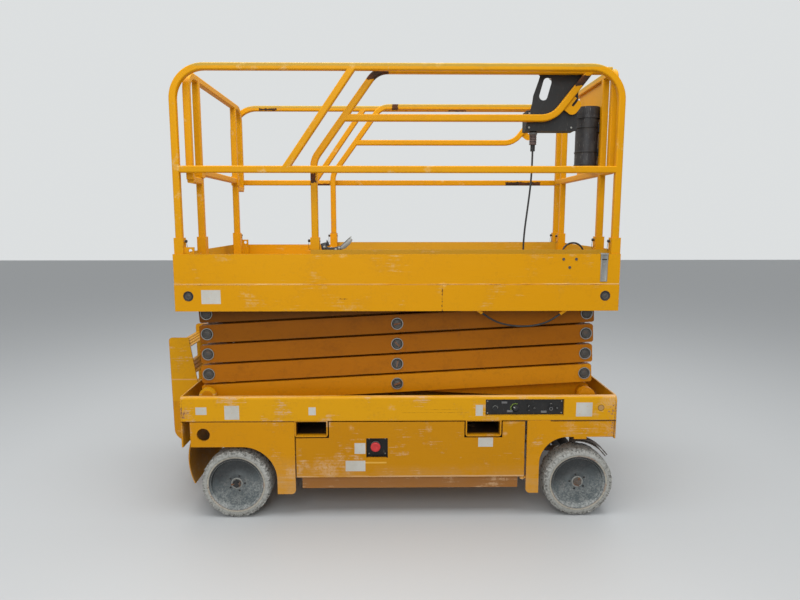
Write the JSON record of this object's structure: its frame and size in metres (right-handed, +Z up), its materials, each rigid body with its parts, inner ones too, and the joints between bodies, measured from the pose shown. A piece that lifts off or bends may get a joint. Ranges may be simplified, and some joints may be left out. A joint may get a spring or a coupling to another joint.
{
  "type": "self-propelled scissor lift",
  "caption": "Electric self-propelled scissor lift, stowed: wheeled chassis, five-level scissor stack, railed platform with a sliding extension, rear ladder.",
  "frame": {"origin": "floor level under the middle of the whole machine's box", "axes": "+X forwards to the steered wheels, +Y left, +Z up"},
  "size_m": [2.5077, 1.2, 2.385],
  "materials": {
    "yellow_paint": "worn ochre yellow paint",
    "arm_paint": "ochre yellow paint, darker from grime",
    "dark_steel": "dark oiled steel",
    "bright_steel": "bright ground steel",
    "black_plastic": "black moulded plastic",
    "black_paint": "black paint",
    "tyre_rubber": "worn non-marking grey solid tyre",
    "rim_paint": "worn blue-grey paint",
    "cord_rubber": "black cable sheath"
  },
  "bodies": {
    "chassis": {"side_beams": "yellow_paint", "ground_controls": "black_plastic", "fenders": "yellow_paint", "chassis_core": "yellow_paint", "end_plates": "yellow_paint", "fork_pockets": "yellow_paint", "ladder": "yellow_paint", "axles": "black_paint"},
    "knuckle_left": {"knuckle_left": "dark_steel"},
    "knuckle_right": {"knuckle_right": "dark_steel"},
    "tie_rod": {"tie_rod": "dark_steel"},
    "tray_left": {"tray_left": "yellow_paint", "power_unit": "dark_steel"},
    "tray_right": {"tray_right": "yellow_paint", "batteries": "black_plastic", "emergency_stop": "black_plastic"},
    "guard_left": {"pothole_guard_left": "yellow_paint"},
    "guard_right": {"pothole_guard_right": "yellow_paint"},
    "barrel": {"cylinder_barrel": "black_paint"},
    "rod": {"cylinder_rod": "bright_steel"},
    "platform": {"platform_frame": "yellow_paint", "deck": "yellow_paint", "toe_boards": "yellow_paint", "side_rails": "yellow_paint", "rear_rail": "yellow_paint", "harness_cord": "cord_rubber"},
    "entry_bar": {"entry_bar": "yellow_paint"},
    "extension": {"extension_deck": "yellow_paint", "extension_rails": "yellow_paint", "front_rail": "yellow_paint", "control_box": "black_paint", "document_tube": "black_plastic", "lock_pedal": "dark_steel", "control_cord": "cord_rubber", "cord_plug": "black_plastic"},
    "wheel_front_left": {"tyre_front_left": "tyre_rubber", "rim_front_left": "rim_paint"},
    "wheel_front_right": {"tyre_front_right": "tyre_rubber", "rim_front_right": "rim_paint"},
    "wheel_rear_left": {"tyre_rear_left": "tyre_rubber", "rim_rear_left": "rim_paint"},
    "wheel_rear_right": {"tyre_rear_right": "tyre_rubber", "rim_rear_right": "rim_paint"},
    "outer_1": {"outer_arms_1": "arm_paint", "base_shaft": "yellow_paint"},
    "inner_1": {"inner_arms_1": "arm_paint", "cross_tubes_1": "arm_paint"},
    "outer_2": {"outer_arms_2": "arm_paint"},
    "inner_2": {"inner_arms_2": "arm_paint", "cross_tubes_2": "arm_paint"},
    "outer_3": {"outer_arms_3": "arm_paint"},
    "inner_3": {"inner_arms_3": "arm_paint", "cross_tubes_3": "arm_paint"},
    "outer_4": {"outer_arms_4": "arm_paint"},
    "inner_4": {"inner_arms_4": "arm_paint", "cross_tubes_4": "arm_paint"},
    "outer_5": {"outer_arms_5": "arm_paint"},
    "inner_5": {"inner_arms_5": "arm_paint", "cross_tubes_5": "arm_paint"}
  },
  "joints": [
    {"name": "lift", "type": "hinge", "parent": "chassis", "child": "outer_1", "pos_m": [-0.9465, 0, 0.669], "axis": [0, -1, 0], "range_deg": [0, 61.5]},
    {"name": "centre_1", "type": "hinge", "parent": "outer_1", "child": "inner_1", "pos_m": [0.07801, 0, 0.72435], "axis": [0, -1, 0], "range_deg": [-123.5, 0]},
    {"name": "right_pin_1", "type": "hinge", "parent": "outer_1", "child": "inner_2", "pos_m": [1.10251, 0, 0.7797], "axis": [0, -1, 0], "range_deg": [-123.5, 0]},
    {"name": "centre_2", "type": "hinge", "parent": "inner_2", "child": "outer_2", "pos_m": [0.07801, 0, 0.83505], "axis": [0, -1, 0], "range_deg": [0, 123.5]},
    {"name": "left_pin_2", "type": "hinge", "parent": "inner_2", "child": "outer_3", "pos_m": [-0.9465, 0, 0.8904], "axis": [0, -1, 0], "range_deg": [0, 123.5]},
    {"name": "centre_3", "type": "hinge", "parent": "outer_3", "child": "inner_3", "pos_m": [0.07801, 0, 0.94575], "axis": [0, -1, 0], "range_deg": [-123.5, 0]},
    {"name": "right_pin_3", "type": "hinge", "parent": "outer_3", "child": "inner_4", "pos_m": [1.10251, 0, 1.0011], "axis": [0, -1, 0], "range_deg": [-123.5, 0]},
    {"name": "centre_4", "type": "hinge", "parent": "inner_4", "child": "outer_4", "pos_m": [0.07801, 0, 1.05645], "axis": [0, -1, 0], "range_deg": [0, 123.5]},
    {"name": "left_pin_4", "type": "hinge", "parent": "inner_4", "child": "outer_5", "pos_m": [-0.9465, 0, 1.1118], "axis": [0, -1, 0], "range_deg": [0, 123.5]},
    {"name": "centre_5", "type": "hinge", "parent": "outer_5", "child": "inner_5", "pos_m": [0.07801, 0, 1.16715], "axis": [0, -1, 0], "range_deg": [-123.5, 0]},
    {"name": "platform_pin", "type": "hinge", "parent": "inner_5", "child": "platform", "pos_m": [-0.9465, 0, 1.2225], "axis": [0, -1, 0], "range_deg": [0, 62]},
    {"name": "cylinder_eye", "type": "hinge", "parent": "inner_1", "child": "barrel", "pos_m": [-0.3953, 0, 0.74992], "axis": [0, -1, 0], "range_deg": [0, 129.06]},
    {"name": "cylinder_rod", "type": "slide", "parent": "barrel", "child": "rod", "axis": [0.9971, 0, 0.0762], "range_m": [0, 0.2981]},
    {"name": "extension_slide", "type": "slide", "parent": "platform", "child": "extension", "axis": [1, 0, 0], "range_m": [0, 0.92]},
    {"name": "entry_bar_slide", "type": "slide", "parent": "platform", "child": "entry_bar", "axis": [0, 0, 1], "range_m": [0, 0.3]},
    {"name": "steering", "type": "hinge", "parent": "chassis", "child": "knuckle_left", "pos_m": [1.064, 0.42, 0.275], "axis": [0, 0, 1], "range_deg": [-60, 60]},
    {"name": "steering_right", "type": "hinge", "parent": "chassis", "child": "knuckle_right", "pos_m": [1.064, -0.42, 0.275], "axis": [0, 0, 1], "range_deg": [-60, 60]},
    {"name": "tie_rod_pin", "type": "hinge", "parent": "knuckle_left", "child": "tie_rod", "pos_m": [0.934, 0.42, 0.338], "axis": [0, 0, 1], "range_deg": [-60, 60]},
    {"name": "wheel_front_left", "type": "hinge", "parent": "knuckle_left", "child": "wheel_front_left", "pos_m": [1.064, 0.535, 0.19], "axis": [0, 1, 0], "continuous": true},
    {"name": "wheel_front_right", "type": "hinge", "parent": "knuckle_right", "child": "wheel_front_right", "pos_m": [1.064, -0.535, 0.19], "axis": [0, 1, 0], "continuous": true},
    {"name": "wheel_rear_left", "type": "hinge", "parent": "chassis", "child": "wheel_rear_left", "pos_m": [-0.796, 0.535, 0.19], "axis": [0, 1, 0], "continuous": true},
    {"name": "wheel_rear_right", "type": "hinge", "parent": "chassis", "child": "wheel_rear_right", "pos_m": [-0.796, -0.535, 0.19], "axis": [0, 1, 0], "continuous": true},
    {"name": "tray_right_hinge", "type": "hinge", "parent": "chassis", "child": "tray_right", "pos_m": [0.757, -0.588, 0.25], "axis": [0, 0, 1], "range_deg": [0, 90]},
    {"name": "tray_left_hinge", "type": "hinge", "parent": "chassis", "child": "tray_left", "pos_m": [0.757, 0.588, 0.25], "axis": [0, 0, -1], "range_deg": [0, 90]},
    {"name": "pothole_guards", "type": "slide", "parent": "chassis", "child": "guard_right", "axis": [0, 0, -1], "range_m": [0, 0.12]},
    {"name": "pothole_guard_left_slide", "type": "slide", "parent": "chassis", "child": "guard_left", "axis": [0, 0, -1], "range_m": [0, 0.12]}
  ],
  "couplings": [
    {"joint": "centre_1", "follows": "lift", "ratio": -2},
    {"joint": "right_pin_1", "follows": "lift", "ratio": -2},
    {"joint": "centre_2", "follows": "lift", "ratio": 2},
    {"joint": "left_pin_2", "follows": "lift", "ratio": 2},
    {"joint": "centre_3", "follows": "lift", "ratio": -2},
    {"joint": "right_pin_3", "follows": "lift", "ratio": -2},
    {"joint": "centre_4", "follows": "lift", "ratio": 2},
    {"joint": "left_pin_4", "follows": "lift", "ratio": 2},
    {"joint": "centre_5", "follows": "lift", "ratio": -2},
    {"joint": "platform_pin", "follows": "lift", "ratio": 1},
    {"joint": "cylinder_eye", "follows": "lift", "ratio": 2.0905},
    {"joint": "cylinder_rod", "follows": "lift", "m_per_rad": 0.27401},
    {"joint": "steering_right", "follows": "steering", "ratio": 1},
    {"joint": "tie_rod_pin", "follows": "steering", "ratio": -1},
    {"joint": "pothole_guard_left_slide", "follows": "pothole_guards", "ratio": 1}
  ]
}
